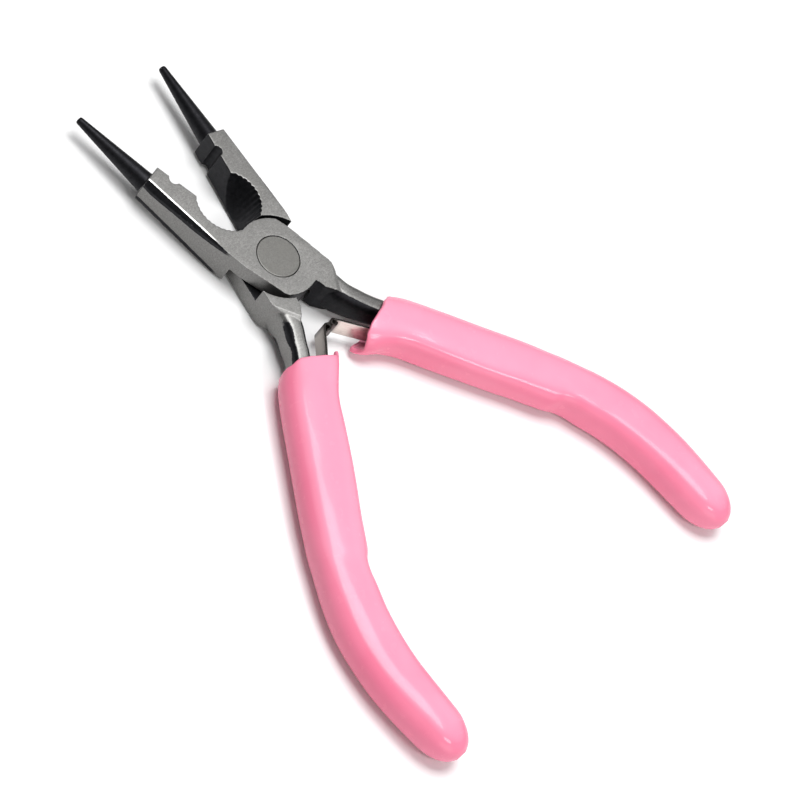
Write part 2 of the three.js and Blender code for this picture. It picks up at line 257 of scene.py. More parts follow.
def paint(obj, name, values):
    """Stores one number per vertex, for the material to read."""
    attribute = obj.data.attributes.new(name, "FLOAT", "POINT")
    attribute.data.foreach_set("value", np.asarray(values).astype(np.float32))


def step(value, low, high):
    """Smoothly from 0 at `low` to 1 at `high`; falling when low is above high."""
    t = np.clip((value - low) / (high - low), 0, 1)
    return t * t * (3 - 2 * t)


# ---------- one half: jaw, lap and arm ----------


JAW_SIDE = [
    (-4.1, JAW_FRONT_Y), (-4.5, 22.7), (-5.0, 18.2), (-5.55, 13.5), (-5.95, 8.6), (-6.1, 4.6),
    (-6.07, 2.5), (-5.7, -1.5), (-5.5, -4.5),
]
ARM_SIDE = [
    (2.4, -12.3), (3.1, -11.4), (4.7, -9.8), (5.97, -7.95), (6.2, -5.3), (6.4, -0.7), (6.45, 2.2),
]
ARM_INNER_CORNER = [(0.9, -7.9), (0.95, -9.4), (1.7, -11.0)]
THROAT = [(0.35, 7.44), (PAD_X, 7.445)]
LAP_BACK_ARC = (-133, -84)  # in degrees
LAP_FRONT_ARC = (33, 80)


def head_outline():
    """Jaw and lap seen from above, with the pad's notch."""
    notch_half = math.degrees(math.acos(-NOTCH_INSET))
    notch_x = PAD_X + NOTCH_INSET * NOTCH_RADIUS
    notch = arc(notch_x, NOTCH_Y, NOTCH_RADIUS, -notch_half, notch_half - 360, 24)
    return [
        (PAD_X, JAW_FRONT_Y),
        *map(tuple, spline(JAW_SIDE, 5)),
        *arc(0, 0, LAP_RADIUS, *LAP_BACK_ARC, 24),
        *ARM_INNER_CORNER,
        *map(tuple, spline(ARM_SIDE, 3)),
        *arc(0, 0, LAP_RADIUS, *LAP_FRONT_ARC, 24),
        *THROAT,
        *notch,
    ]


def scoop(side):
    """The toothed scoop between the jaws, deep at one face and sloping out to the pad."""
    (cx, cy), (y0, y1) = SCOOP_CENTRE, SCOOP_ENDS_Y
    slope = (SCOOP_RADIUS - cx + PAD_X + SCOOP_LAND) / THICKNESS
    rings = []
    for depth, share in TOOTH_FADE:
        shift = slope * depth
        z = THICKNESS - depth if side == "upper" else depth
        ring = [(SCOOP_OPEN_X + shift, y0, z)]
        for angle in np.linspace(240, 120, 241):
            tooth = max([0] + [1 - abs(angle - t) / TOOTH_HALF_ANGLE for t in TOOTH_ANGLES])
            radius = SCOOP_RADIUS + TOOTH_DEPTH[side] * tooth * share
            a = math.radians(angle)
            ring.append((cx + radius * math.cos(a) + shift, cy + radius * math.sin(a), z))
        rings.append(ring + [(SCOOP_OPEN_X + shift, y1, z)])
    return tube("cut", rings)


ARM = [  # x, y, turn in degrees, half width, half height
    (3.5, -5.5, 0, 2.2, 3.2),
    (3.45, -9.5, 0, 2.05, 3.2),
    (3.5, -12.3, 8, 1.9, 3.1),
    (4.2, -14.8, 20, 1.8, 2.9),
    (5.0, -17.1, 27, 1.75, 2.65),
    (6.25, -20, 26, 1.75, 2.45),
    (8.2, -24.5, 22, 1.8, 2.45),
    (10.2, -30, 20, 1.95, 2.45),
    (13.4, -40, 20, 2.0, 2.45),
    (16.5, -49.5, 19.5, 2.0, 2.45),
    (18.2, -54.8, 15.5, 2.0, 2.4),
    (19.1, -58.5, 12, 2.0, 2.4),
    (19.85, -66, -0.5, 2.0, 2.4),
    (19.2, -74, -9.5, 1.9, 2.3),
    (18.3, -78, -14.5, 1.8, 2.2),
    (17.4, -81.2, -17, 1.3, 1.6),
]
ARM_SQUARENESS = (3.4, 3.4)
LOWER_ARM_SHIFT = 0.25


def arm_stations(side):
    """The arm's sections. The lower arm lies a little further in where it meets its sleeve."""
    rows = np.array(ARM, float)
    if side == "lower":
        inward = step(rows[:, 1], -14.9, -17.0) * step(rows[:, 1], -26.0, -19.0)
        rows[:, 0] -= LOWER_ARM_SHIFT * inward
    return rows


def oval(x, y, turn, a, b, count, powers):
    """A ring with its own squareness on the +X and on the -X side."""
    t = np.linspace(0, 2 * math.pi, count, endpoint=False)
    power = np.where(np.cos(t) > 0, powers[0], powers[1])
    u = a * np.sign(np.cos(t)) * np.abs(np.cos(t)) ** (2 / power)
    v = b * np.sign(np.sin(t)) * np.abs(np.sin(t)) ** (2 / power)
    turn = math.radians(turn)
    return np.stack([x + u * math.cos(turn), y + u * math.sin(turn), MID + v], 1)


def face_cutters(flip):
    """The slope of the jaw's face, its outer bevel and the oblique end at the arm."""

    def z(height):
        return -height if flip else THICKNESS + height

    (near, far), (x0, y0), (x1, y1) = FACE_SLOPE_Y, BEVEL_START, BEVEL_END
    drop = FACE_DROP * (far - near) / (JAW_FRONT_Y - near)
    section = ((near, 0), (far, -drop), (far, 4), (near, 4))
    slope = [(x, y, z(h)) for x in (-12, 12) for y, h in section]
    bevel = [(x, y0, z(h)) for x, h in ((x0, 0), (x0, 1), (-9, 1), (-9, 0))]
    section = ((x1, 0), (x1, 1), (-9, 1), (x1 - 1, -BEVEL_DROP), (-9, -BEVEL_DROP))
    bevel += [(x, y1, z(h)) for x, h in section]
    (x0, y0), c, s = ARM_CUT_FROM, math.cos(ARM_CUT_TURN), math.sin(ARM_CUT_TURN)
    section = ((0, 0), (0, 5), (12, 5), (12, -5))
    arm = [(x0 + t * c + d * s, y0 + t * s - d * c, z(h)) for t in (-9, 9) for d, h in section]
    return [convex("cut", points) for points in (slope, bevel, arm)]


def lap_space(z):
    return lathe("cut", [(SHOULDER_RADIUS, -1), (SHOULDER_RADIUS, z)], 160)


def nose(tip_x):
    """The round nose cone, with its tip's rim rounded over."""
    x, y, radius = NOSE_BASE
    length = math.hypot(tip_x - x, NOSE_TIP_Y - y)
    tip = NOSE_TIP_RADIUS
    profile = [(radius, 0), (tip + 0.02, length - 0.3), (tip * 0.93, length - 0.12),
               (tip * 0.72, length)]
    cone = lathe("nose", profile, 64)
    lean = math.atan2(x - tip_x, NOSE_TIP_Y - y)
    upright = Matrix.Rotation(lean, 4, "Z") @ Matrix.Rotation(-math.pi / 2, 4, "X")
    cone.data.transform(Matrix.Translation((x, y, MID)) @ upright)
    return cone


def forging(side):
    """Head, arm and nose merged into one skin with softened edges."""
    head = plate("head", head_outline(), 0, THICKNESS)
    hole = lathe("cut", [(RIVET_HOLE_RADIUS, -1), (RIVET_HOLE_RADIUS, THICKNESS + 1)], 128)
    faces = face_cutters(False) + face_cutters(True)
    for cutter in (lap_space(MID + LAP_GAP / 2), *faces, hole, scoop(side)):
        cut(head, cutter)
    rings = [oval(*station, 64, ARM_SQUARENESS) for station in spline(arm_stations(side), 6)]
    arm = cut(tube("arm", rings), lap_space(THICKNESS + 1))
    obj = joined(side + "_forging", [head, arm, nose(TIP_X[side])])
    remesh = obj.modifiers.new("remesh", "REMESH")
    remesh.mode = "VOXEL"
    remesh.voxel_size = VOXEL
    soften = obj.modifiers.new("soften", "SMOOTH")
    soften.factor = 0.5
    soften.iterations = SOFTEN_ROUNDS
    thin = obj.modifiers.new("thin", "DECIMATE")
    thin.ratio = KEEP_RATIO
    apply_modifiers(obj)
    smooth_shaded(obj)
    paint_forging(obj, side)
    obj.data.transform(PLACE[side])
    return obj


# how the distance from the bevel's plane changes with x, y and depth below the face
BEVEL_RUN = (BEVEL_END[0] - BEVEL_START[0], BEVEL_END[1] - BEVEL_START[1], 0)
BEVEL_PLANE = np.cross(BEVEL_RUN, (-1.0, 0, BEVEL_DROP))
BEVEL_PLANE /= np.linalg.norm(BEVEL_PLANE)

# what the two halves' finish, painted highlight and painted shade don't share
BEVEL_HIGHLIGHT = {"upper": 1.0, "lower": 0.0}
CORNER_REACH = {"upper": 1.72, "lower": 1.36}
CORNER_START_Y = {"upper": -10.4, "lower": -13.0}
# how much painted shade darkens the arm's top
ARM_TOP_SHADE = {"upper": 0.22, "lower": 0.1}


def paint_forging(obj, side):
    """Where the steel is ground bright, where it keeps its black oxide, where the lap is painted
    dark as painted shade, and how its edges wear and catch a painted highlight.
    """
    p, n = coordinates(obj.data), normals(obj.data)
    x, y, z = p.T
    nx, ny, nz = n.T
    radius = np.hypot(x, y)
    flat = step(np.abs(nz), 0.80, 0.93)
    # the jaw: ground faces and outer side; the material draws the black bevel between them
    jaw_side = step(-nx, 0.55, 0.8) * (1 - flat) * step(x, -3.2, -3.8) * step(y, -7.5, -7.0)
    ground = np.clip(flat + jaw_side, 0, 1)
    x0, y0 = BEVEL_START
    paint(obj, "bevel", (x - x0) * BEVEL_PLANE[0] + (y - y0) * BEVEL_PLANE[1])
    paint(obj, "along", y)
    # only the upper half gets the painted highlight along its bevel's edge
    paint(obj, "bevel_highlight", np.full(len(p), BEVEL_HIGHLIGHT[side]))
    # the recessed lap and the shoulder's round wall are painted dark: painted shade, where they
    # lie in shadow
    lap_floor_shade = step(np.abs(z - MID), 0.9, 0.5) * flat
    toward_axis = -(nx * x + ny * y) / np.maximum(radius, 0.1)
    lap_wall_shade = step(np.abs(radius - SHOULDER_RADIUS), 0.25, 0.15) * step(toward_axis, 0.6, 0.8)
    ground = ground * (1 - lap_floor_shade * 0.75) * (1 - lap_wall_shade)
    # the arm: ground top, bottom and outer side, black inner side and corners
    stations = spline(arm_stations(side), 6)[::-1]
    centre, turn, half_width, half_height = (
        np.interp(y, stations[:, 1], stations[:, k]) for k in (0, 2, 3, 4)
    )
    across = (x - centre) * np.cos(np.radians(turn)) / half_width
    upward = np.abs(z - MID) / half_height
    lap_face = step(np.abs(nz), 0.9, 0.95) * step(y, -9.0, -8.0)
    on_arm = step(y, 3.0, 2.6) * step(x, 0.2, 0.4) * (1 - lap_face)
    inner_side = step(-nx, 0.2, 0.45)
    reach = CORNER_REACH[side]
    outer_corner = step(across + upward, reach - 0.12, reach + 0.3) * step(across, 0.1, 0.35)
    outer_corner = outer_corner * step(y, -9.2, CORNER_START_Y[side])
    outer_corner = outer_corner * step(np.abs(nz), 0.04, 0.14)
    inner_corner = step(upward - across, 1.72, 1.9) * step(across, -0.3, -0.5)
    inner_corner = inner_corner * step(y, -12.0, -13.0)
    arm_ground = (1 - inner_side) * (1 - outer_corner) * (1 - inner_corner)
    ground = ground * (1 - on_arm) + arm_ground * on_arm
    ground = ground * step(y, JAW_FRONT_Y + 0.25, JAW_FRONT_Y + 0.05)
    paint(obj, "ground", ground)
    # convexity, read by the material for edge wear and a painted highlight
    paint(obj, "edge", edge_wear_and_highlight(obj.data))
    # upright sides are painted darker than the flat faces, and the arm's top is painted darker as
    # painted shade, toning down the light it catches
    arm_top = step(y, -12.0, -13.5) * step(np.abs(nz), 0.6, 0.85)
    upright_side = step(np.abs(nz), 0.6, 0.3)
    paint(obj, "tone", 0.56 - 0.15 * upright_side - ARM_TOP_SHADE[side] * arm_top)


def edge_wear_and_highlight(mesh):
    """Per vertex, how convex the surface is there, from 0 on a flat to 1 on a sharp outer edge."""
    p, n = coordinates(mesh), normals(mesh)
    edges = np.zeros(len(mesh.edges) * 2, np.int32)
    mesh.edges.foreach_get("vertices", edges)
    a, b = edges.reshape(-1, 2).T
    d = p[b] - p[a]
    length = np.linalg.norm(d, axis=1) + 1e-9
    bend = np.einsum("ij,ij->i", n[b] - n[a], d) / length
    total = np.bincount(a, bend, len(p)) + np.bincount(b, bend, len(p))
    count = np.bincount(a, minlength=len(p)) + np.bincount(b, minlength=len(p))
    return step(total / np.maximum(count, 1), 0.16, 0.42)


# ---------- rivet ----------


def pivot_rivet():
    """Ground flush at both ends, with a thin dark line round it, and narrower inside."""
    r = RIVET_RADIUS
    half = [(0.02, 0), (r - 0.2, 0), (r - 0.12, 0), (r - 0.05, 0.03), (r, 0.1), (r, 0.45),
            (2.9, 1.5)]
    profile = half + [(radius, THICKNESS - height) for radius, height in reversed(half)]
    obj = lathe("rivet", profile, 128)
    obj.data.transform(Matrix.Scale(MM, 4))
    smooth_shaded(obj)
    return obj


# ---------- leaf springs ----------

SPRING_ROOT = (7.55, -30.0)
SPRING_TAIL = (0.55, -1.6)  # from the root, into the sleeve
SPRING_TIP = (-2.773, -14.055)  # the rolled end's centre
SPRING_ROLL = 0.55
SPRING_ROLL_ANGLE = 275
SPRING_BOW = 0.5
SPRING_HALF_THICKNESS = 0.2
SPRING_HALF_WIDTH = 2.0
SPRING_CHAMFER = 0.07
SPRING_DARKENING = {"upper": 0.0, "lower": 0.75}


def leaf(side):
    """A slightly bowed strip that ends in a rolled curl."""
    (rx, ry), (cx, cy) = SPRING_ROOT, SPRING_TIP
    chord = math.atan2(cy - ry, cx - rx)
    ex, ey = cx + SPRING_ROLL * math.sin(chord), cy - SPRING_ROLL * math.cos(chord)
    line = [(rx + SPRING_TAIL[0], ry + SPRING_TAIL[1])]
    for t in np.linspace(0, 1, 25):
        bow = SPRING_BOW * math.sin(math.pi * t) ** 1.2
        x = rx + (ex - rx) * t - bow * math.sin(chord)
        y = ry + (ey - ry) * t + bow * math.cos(chord)
        line.append((x, y))
    start = math.degrees(chord) - 90
    line += arc(cx, cy, SPRING_ROLL, start, start + SPRING_ROLL_ANGLE, 30)[1:]
    line = np.array(line)
    along = np.gradient(line, axis=0)
    along /= np.linalg.norm(along, axis=1)[:, None]
    across = np.stack([-along[:, 1], along[:, 0]], 1)
    h, w, c = SPRING_HALF_THICKNESS, SPRING_HALF_WIDTH, SPRING_CHAMFER
    section = [(-h, -w + c), (-h + c, -w), (h - c, -w), (h, -w + c)]
    section += [(-u, -v) for u, v in section]
    rings = []
    for (x, y), (ax, ay) in zip(line, across):
        rings.append([(x + ax * u, y + ay * u, MID + v) for u, v in section])
    obj = tube(HAND[side] + "_leaf", rings)
    obj.data.transform(PLACE[side])
    bevel = obj.modifiers.new("round", "BEVEL")
    bevel.width = 0.03 * MM
    bevel.segments = 2
    bevel.limit_method = "ANGLE"
    bevel.angle_limit = math.radians(35)
    apply_modifiers(obj)
    smooth_shaded(obj)
    paint(obj, "cut_edge", step(np.abs(normals(obj.data)[:, 2]), 0.5, 0.8))
    x, y, _ = (coordinates(obj.data) @ np.array(PLACE[side].inverted().to_3x3()).T).T
    paint(obj, "curl", step(np.hypot(x - cx, y - cy), 1.0, 0.7))
    # the lower leaf is painted darker all over
    paint(obj, "darkened", np.full(len(x), SPRING_DARKENING[side]))
    return obj


# ---------- grip sleeves ----------

SLEEVE = [  # x, y, turn, half width, half height, squareness of the outer and of the inner edge
    (3.7, -18.6, 2, 5.8, 3.8, 2.2, 2.4),
    (5.0, -21.3, 14, 5.4, 3.8, 2.25, 2.8),
    (7.0, -25, 21, 5.05, 3.8, 2.3, 3.2),
    (8.95, -30, 21, 5.15, 3.8, 2.3, 3.2),
    (12.8, -40, 21, 5.2, 3.8, 2.3, 3.1),
    (14.75, -45, 21, 5.15, 3.8, 2.35, 2.9),
    (15.95, -48.5, 20.5, 5.1, 3.8, 2.4, 2.7),
    (16.85, -51.0, 19, 5.05, 3.78, 2.45, 2.6),
    (17.75, -52.9, 17.5, 4.6, 3.72, 2.6, 3.2),
    (18.45, -55, 15.5, 4.55, 3.75, 2.45, 3.4),
    (19.05, -58, 12, 4.75, 3.8, 2.45, 3.4),
    (19.7, -62, 6, 4.85, 3.8, 2.45, 3.4),
    (19.9, -66, -0.5, 4.9, 3.8, 2.45, 3.4),
    (19.7, -70, -5, 4.9, 3.8, 2.4, 3.2),
    (19.2, -74, -9.5, 4.85, 3.8, 2.35, 3.0),
    (18.3, -78, -14.5, 4.75, 3.8, 2.3, 2.8),
    (17.2, -82, -17, 4.6, 3.8, 2.25, 2.6),
    (16.35, -85, -17, 4.25, 3.65, 2.4, 2.6),
    (15.75, -87.3, -17, 3.4, 3.1, 2.3, 2.4),
    (15.35, -88.8, -17, 2.3, 2.2, 2.1, 2.2),
    (15.1, -89.6, -17, 0.95, 0.95, 2.0, 2.0),
]
AROUND = 96
WALL = 0.85
CORE_END_Y = -80
FORWARD_REACH = 2.6  # how far down the sleeve the mouth's run and its flare die out
FLARE_REACH = 1.9
RAGGED = 0.22
RIM_ROUNDING = 0.3
# round the mouth: direction in degrees, how far the edge runs forward, how far it flares outward
LIP = {
    "upper": [
        (0, -1.1, 0.0), (45, -0.9, 0.1), (90, -0.7, 0.1), (122, -0.9, 0.1), (145, -1.4, 0.1),
        (165, -2.1, 0.1), (185, -2.3, 0.2), (200, -1.7, 0.6), (213, -0.9, 1.2), (224, -0.6, 1.5),
        (236, -0.8, 1.4), (250, -1.2, 1.1), (266, -1.6, 0.4), (290, -1.5, 0.1), (320, -1.2, 0.0),
    ],
    "lower": [
        (0, -0.8, 0.0), (30, -0.8, 0.0), (90, -0.8, 0.1), (125, -1.1, 0.2), (155, -1.3, 0.3),
        (176, -1.0, 0.35), (190, -0.5, 0.45), (199, 0.1, 0.6), (207, -0.2, 0.4),
        (216, -0.8, 0.15), (236, -0.9, 0.0), (262, -0.6, 0.0), (290, 0.0, 0.0), (325, -0.4, 0.0),
    ],
}
SEED = {"upper": 3.0, "lower": 11.0}


def lip(side, angles):
    """The mouth's forward run and flare at each angle, with a slightly ragged edge."""
    rows = np.array(LIP[side], float)
    rows = np.vstack([rows[-1] - (360, 0, 0), rows, rows[0] + (360, 0, 0)])
    fine = spline(rows, 12)
    forward = np.interp(angles, fine[:, 0], fine[:, 1])
    flare = np.interp(angles, fine[:, 0], fine[:, 2])
    turns = np.radians(angles)
    rag = [noise.noise((math.cos(a) * 3.5, math.sin(a) * 3.5, SEED[side])) for a in turns]
    return forward + RAGGED * np.array(rag), flare


def sleeve(side):
    """A hollow sleeve, open at the mouth, with a rounded rim and a torn, flared lip."""
    stations = spline(SLEEVE, 8)
    angles = np.degrees(np.linspace(0, 2 * math.pi, AROUND, endpoint=False))
    forward, flare = lip(side, angles)
    cosine = np.cos(np.radians(angles))
    sideways = flare * np.sign(cosine) * np.sqrt(np.abs(cosine))
    outer, inner = [], []
    for x, y, turn, a, b, outer_power, inner_power in stations:
        distance = SLEEVE[0][1] - y
        powers = (outer_power, inner_power)
        ring = oval(x, y, turn, a, b, AROUND, powers)
        core = oval(x, y, turn, a - WALL, b - WALL, AROUND, powers)
        width_way = np.array([math.cos(math.radians(turn)), math.sin(math.radians(turn)), 0])
        for points in (ring, core):
            flared = math.exp(-((distance / FLARE_REACH) ** 2))
            points += sideways[:, None] * width_way * flared
            points[:, 1] += forward * math.exp(-((distance / FORWARD_REACH) ** 2))
        outer.append(ring)
        if y > CORE_END_Y:
            inner.append(core)
    rim = []
    for k in (1, 2, 3):
        angle = math.pi * k / 4
        ridge = (outer[0] + inner[0]) / 2 + (outer[0] - inner[0]) / 2 * math.cos(angle)
        ridge[:, 1] += RIM_ROUNDING * math.sin(angle)
        rim.append(ridge)
    obj = tube(HAND[side] + "_sleeve", inner[::-1] + rim[::-1] + outer)
    wobble(obj.data, SEED[side])
    smooth_shaded(obj)
    subdivide = obj.modifiers.new("smooth", "SUBSURF")
    subdivide.levels = subdivide.render_levels = 1
    apply_modifiers(obj)
    # painted sheen: the flat faces are painted paler, standing in for the lights' reflection;
    # towards the rounder end the pale band narrows
    rise = np.abs(normals(obj.data)[:, 2])
    low = step(coordinates(obj.data)[:, 1], -48.0, -62.0)
    sheen_band = np.clip((rise - 0.74 - 0.14 * low) / (0.26 - 0.14 * low), 0, 1)
    paint(obj, "face", sheen_band * (1 - 0.15 * low))
    obj.data.transform(PLACE[side])
    return obj


WOBBLE = 0.12


def wobble(mesh, seed):
    """Small unevenness of a pushed-on sleeve."""
    p, n = coordinates(mesh), normals(mesh)
    wave = [noise.noise((x * 0.16, y * 0.09 + seed, z * 0.2)) for x, y, z in p]
    moved = p + n * np.array(wave)[:, None] * WOBBLE
    mesh.vertices.foreach_set("co", moved.astype(np.float32).ravel())
    mesh.update()


# ---------- materials ----------


class Nodes:
    """A few short words for building a node tree."""

    def __init__(self, name):
        self.material = bpy.data.materials.new(name)
        self.material.use_nodes = True
        self.tree = self.material.node_tree
        self.tree.nodes.clear()
        output = self.tree.nodes.new("ShaderNodeOutputMaterial")
        self.shader = self.tree.nodes.new("ShaderNodeBsdfPrincipled")
        self.link(self.shader.outputs[0], output.inputs["Surface"])

    def node(self, kind, **settings):
        node = self.tree.nodes.new("ShaderNode" + kind)
        for key, value in settings.items():
            setattr(node, key, value)
        return node

    def link(self, source, target):
        self.tree.links.new(source, target)

    def place(self, scale=(1, 1, 1), turn=(0, 0, 0)):
        """Object coordinates in millimetres, scaled along the axes."""
        coordinate = self.node("TexCoord")
        mapping = self.node("Mapping")
        mapping.inputs["Scale"].default_value = [s / MM for s in scale]
        mapping.inputs["Rotation"].default_value = turn
        self.link(coordinate.outputs["Object"], mapping.inputs["Vector"])
        return mapping.outputs["Vector"]

    def noise(self, vector, scale, detail=3, roughness=0.55):
        node = self.node("TexNoise")
        node.inputs["Scale"].default_value = scale
        node.inputs["Detail"].default_value = detail
        node.inputs["Roughness"].default_value = roughness
        self.link(vector, node.inputs["Vector"])
        return node.outputs["Fac"]

    def height(self):
        """Height above the underside of the joint, in millimetres."""
        split = self.node("SeparateXYZ")
        self.link(self.place(), split.inputs[0])
        return split.outputs["Z"]

    def normal_z(self):
        """The height part of the surface's normal."""
        split = self.node("SeparateXYZ")
        self.link(self.node("TexCoord").outputs["Normal"], split.inputs[0])
        return split.outputs["Z"]

    def attribute(self, name):
        return self.node("Attribute", attribute_name=name).outputs["Fac"]

    def ramp(self, value, stops):
        node = self.node("ValToRGB")
        elements = node.color_ramp.elements
        while len(elements) < len(stops):
            elements.new(0.5)
        for element, (position, colour) in zip(elements, stops):
            element.position = position
            element.color = (*colour, 1)
        self.link(value, node.inputs["Fac"])
        return node.outputs["Color"]

    def feed(self, socket, value):
        """Links another node's output to a socket, or sets a constant on it."""
        if isinstance(value, bpy.types.NodeSocket):
            self.link(value, socket)
        else:
            socket.default_value = (*value, 1) if isinstance(value, tuple) else value

    def mix(self, factor, a, b):
        """The colour `a` where the factor is 0, and `b` where it is 1."""
        node = self.node("Mix", data_type="RGBA")
        for socket, value in ((node.inputs[0], factor), (node.inputs[6], a), (node.inputs[7], b)):
            self.feed(socket, value)
        return node.outputs[2]

    def math(self, operation, a, b=0.0):
        node = self.node("Math", operation=operation)
        self.feed(node.inputs[0], a)
        self.feed(node.inputs[1], b)
        return node.outputs[0]

    def range(self, value, low, high, to_low, to_high):
        """The value's span from low to high, mapped to another span and clamped there."""
        node = self.node("MapRange")
        for socket, number in zip(node.inputs[1:5], (low, high, to_low, to_high)):
            socket.default_value = number
        self.link(value, node.inputs[0])
        return node.outputs[0]

    def bump(self, height, strength, distance_mm, below=None):
        node = self.node("Bump")
        node.inputs["Strength"].default_value = strength
        node.inputs["Distance"].default_value = distance_mm * MM
        self.link(height, node.inputs["Height"])
        if below is not None:
            self.link(below, node.inputs["Normal"])
        return node.outputs["Normal"]

    def set(self, **values):
        """Sets the shader's sockets by name, with spaces written as underscores."""
        for name, value in values.items():
            self.feed(self.shader.inputs[name.replace("_", " ")], value)


def forged_steel():
    """Ground and lapped steel with black oxide where the forging wasn't ground, painted shade in
    the lap and painted highlights on its edges.
    """
    m = Nodes("forged_steel")
    grain = m.noise(m.place(), 3.6, 4, 0.75)
    streaks = m.noise(m.place((0.5, 3.0, 1.0), (0, 0, 0.35)), 2.4, 4, 0.6)
    cloud = m.noise(m.place(), 0.22, 3)
    worn = m.noise(m.place(), 1.1, 5, 0.7)
    # the border between ground and black is a little ragged
    mask = m.math("ADD", m.attribute("ground"), m.range(worn, 0.3, 0.7, -0.14, 0.14))
    mask = m.range(mask, 0.42, 0.58, 0, 1)
    # the bevel keeps its oxide, and the face's edge along it gets a painted highlight
    upright = m.math("ABSOLUTE", m.normal_z())
    below = m.math("SUBTRACT", MID, m.math("ABSOLUTE", m.math("SUBTRACT", m.height(), MID)))
    depth = m.math("ADD", m.attribute("bevel"), m.math("MULTIPLY", below, float(BEVEL_PLANE[2])))
    depth = m.math("ADD", depth, m.range(worn, 0.3, 0.7, -0.03, 0.03))
    on_jaw = m.range(m.attribute("along"), 6.4, 7.4, 0, 1)
    bevel = m.math("LESS_THAN", depth, m.range(upright, 0.8, 0.92, 0.34, 0.04))
    mask = m.math("MULTIPLY", mask, m.math("SUBTRACT", 1.0, m.math("MULTIPLY", bevel, on_jaw)))
    on_face = m.range(upright, 0.86, 0.94, 0, 1)
    painted_highlight = m.math("MULTIPLY", m.math("LESS_THAN", depth, 0.3), on_face)
    painted_highlight = m.math("MULTIPLY", painted_highlight, m.range(m.attribute("along"), 9.0, 13.0, 0, 1))
    painted_highlight = m.math("MULTIPLY", painted_highlight, m.math("MULTIPLY", mask, m.attribute("bevel_highlight")))
    darker_steel = m.ramp(grain, [(0.28, (0.062, 0.060, 0.058)), (0.72, (0.165, 0.162, 0.158))])
    lighter_steel = m.ramp(grain, [(0.28, (0.23, 0.227, 0.22)), (0.72, (0.53, 0.525, 0.51))])
    # the tone mixes darker and lighter steel; on the arm's top it carries painted shade
    bright = m.mix(m.attribute("tone"), darker_steel, lighter_steel)
    bright = m.mix(m.range(streaks, 0.38, 0.7, 0, 0.4), bright, (0.12, 0.118, 0.114))
    bright = m.mix(m.range(cloud, 0.35, 0.65, 0, 0.35), bright, (0.2, 0.198, 0.192))
    black = m.ramp(worn, [(0.3, (0.010, 0.010, 0.012)), (0.75, (0.027, 0.027, 0.030))])
    colour = m.mix(mask, black, bright)
    # painted highlight: a near-white line on the face beside the bevel
    colour = m.mix(painted_highlight, colour, (0.95, 0.945, 0.93))
    # outer edges are lightened, partly as wear and partly as painted highlight
    rub_and_highlight = m.math("MULTIPLY", m.attribute("edge"), m.range(worn, 0.4, 0.62, 0.2, 0.85))
    colour = m.mix(rub_and_highlight, colour, (0.62, 0.615, 0.6))
    rough_black = m.range(grain, 0.3, 0.7, 0.4, 0.52)
    rough_ground = m.range(grain, 0.3, 0.7, 0.36, 0.5)
    rough = m.mix(mask, rough_black, rough_ground)
    m.set(Base_Color=colour, Metallic=0.9, Roughness=rough)
    fine = m.bump(grain, 0.4, 0.02)
    m.set(Normal=m.bump(streaks, 0.25, 0.015, fine))
    return m.material


def rivet_steel():
    """Finely ground, a little browner than the forgings."""
    m = Nodes("rivet_steel")
    grain = m.noise(m.place(), 4.5, 3, 0.6)
    cloud = m.noise(m.place(), 0.4, 3)
    colour = m.ramp(grain, [(0.3, (0.145, 0.143, 0.135)), (0.7, (0.22, 0.218, 0.207))])
    colour = m.mix(m.range(cloud, 0.3, 0.7, 0, 0.5), colour, (0.175, 0.17, 0.16))
    m.set(Base_Color=colour, Metallic=0.9, Roughness=m.range(grain, 0.3, 0.7, 0.38, 0.48))
    m.set(Normal=m.bump(grain, 0.2, 0.01))
    return m.material


def spring_steel():
    """Bright rolled strip, dark on its cut edges and inside the curl."""
    m = Nodes("spring_steel")
    streaks = m.noise(m.place((0.3, 0.3, 6.0)), 1.5, 3)
    blotch = m.noise(m.place(), 0.7, 4)
    colour = m.ramp(streaks, [(0.3, (0.66, 0.59, 0.54)), (0.7, (0.86, 0.78, 0.72))])
    colour = m.mix(m.range(blotch, 0.55, 0.75, 0, 0.5), colour, (0.3, 0.25, 0.2))
    # the lower leaf is painted darker all over
    colour = m.mix(m.attribute("darkened"), colour, (0.2, 0.18, 0.165))
    colour = m.mix(m.attribute("curl"), colour, (0.06, 0.052, 0.05))
    colour = m.mix(m.attribute("cut_edge"), colour, (0.03, 0.027, 0.025))
    m.set(Base_Color=colour, Metallic=0.9, Roughness=m.range(streaks, 0.3, 0.7, 0.26, 0.38))
    m.set(Normal=m.bump(streaks, 0.15, 0.01))
    return m.material


def pink_plastic():
    """Soft glossy plastic, with a painted sheen that makes the flat faces paler."""
    m = Nodes("pink_plastic")
    skin = m.noise(m.place(), 0.5, 2)
    cloud = m.noise(m.place(), 0.07, 3)
    side = m.ramp(cloud, [(0.35, (0.87, 0.21, 0.335)), (0.65, (0.89, 0.245, 0.37))])
    # painted sheen: the paler colour of the flat faces
    face = m.ramp(cloud, [(0.35, (0.93, 0.325, 0.465)), (0.65, (0.935, 0.355, 0.5))])
    colour = m.mix(m.attribute("face"), side, face)
    m.set(Base_Color=colour, Metallic=0.0, Roughness=m.range(skin, 0.3, 0.7, 0.23, 0.28))
    m.set(Specular_IOR_Level=0.17, Coat_Weight=0.22, Coat_Roughness=0.09)
    m.set(Normal=m.bump(skin, 0.05, 0.05))
    return m.material


# ---------- build and attach ----------


def coat(obj, material):
    obj.data.materials.clear()
    obj.data.materials.append(material)


def dress(obj, material, node):
    """Gives a piece its material and slot, in place of one of the CAD's nodes."""
    coat(obj, material)
    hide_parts(node)


steel, rivet_metal = forged_steel(), rivet_steel()
spring_metal, pink = spring_steel(), pink_plastic()

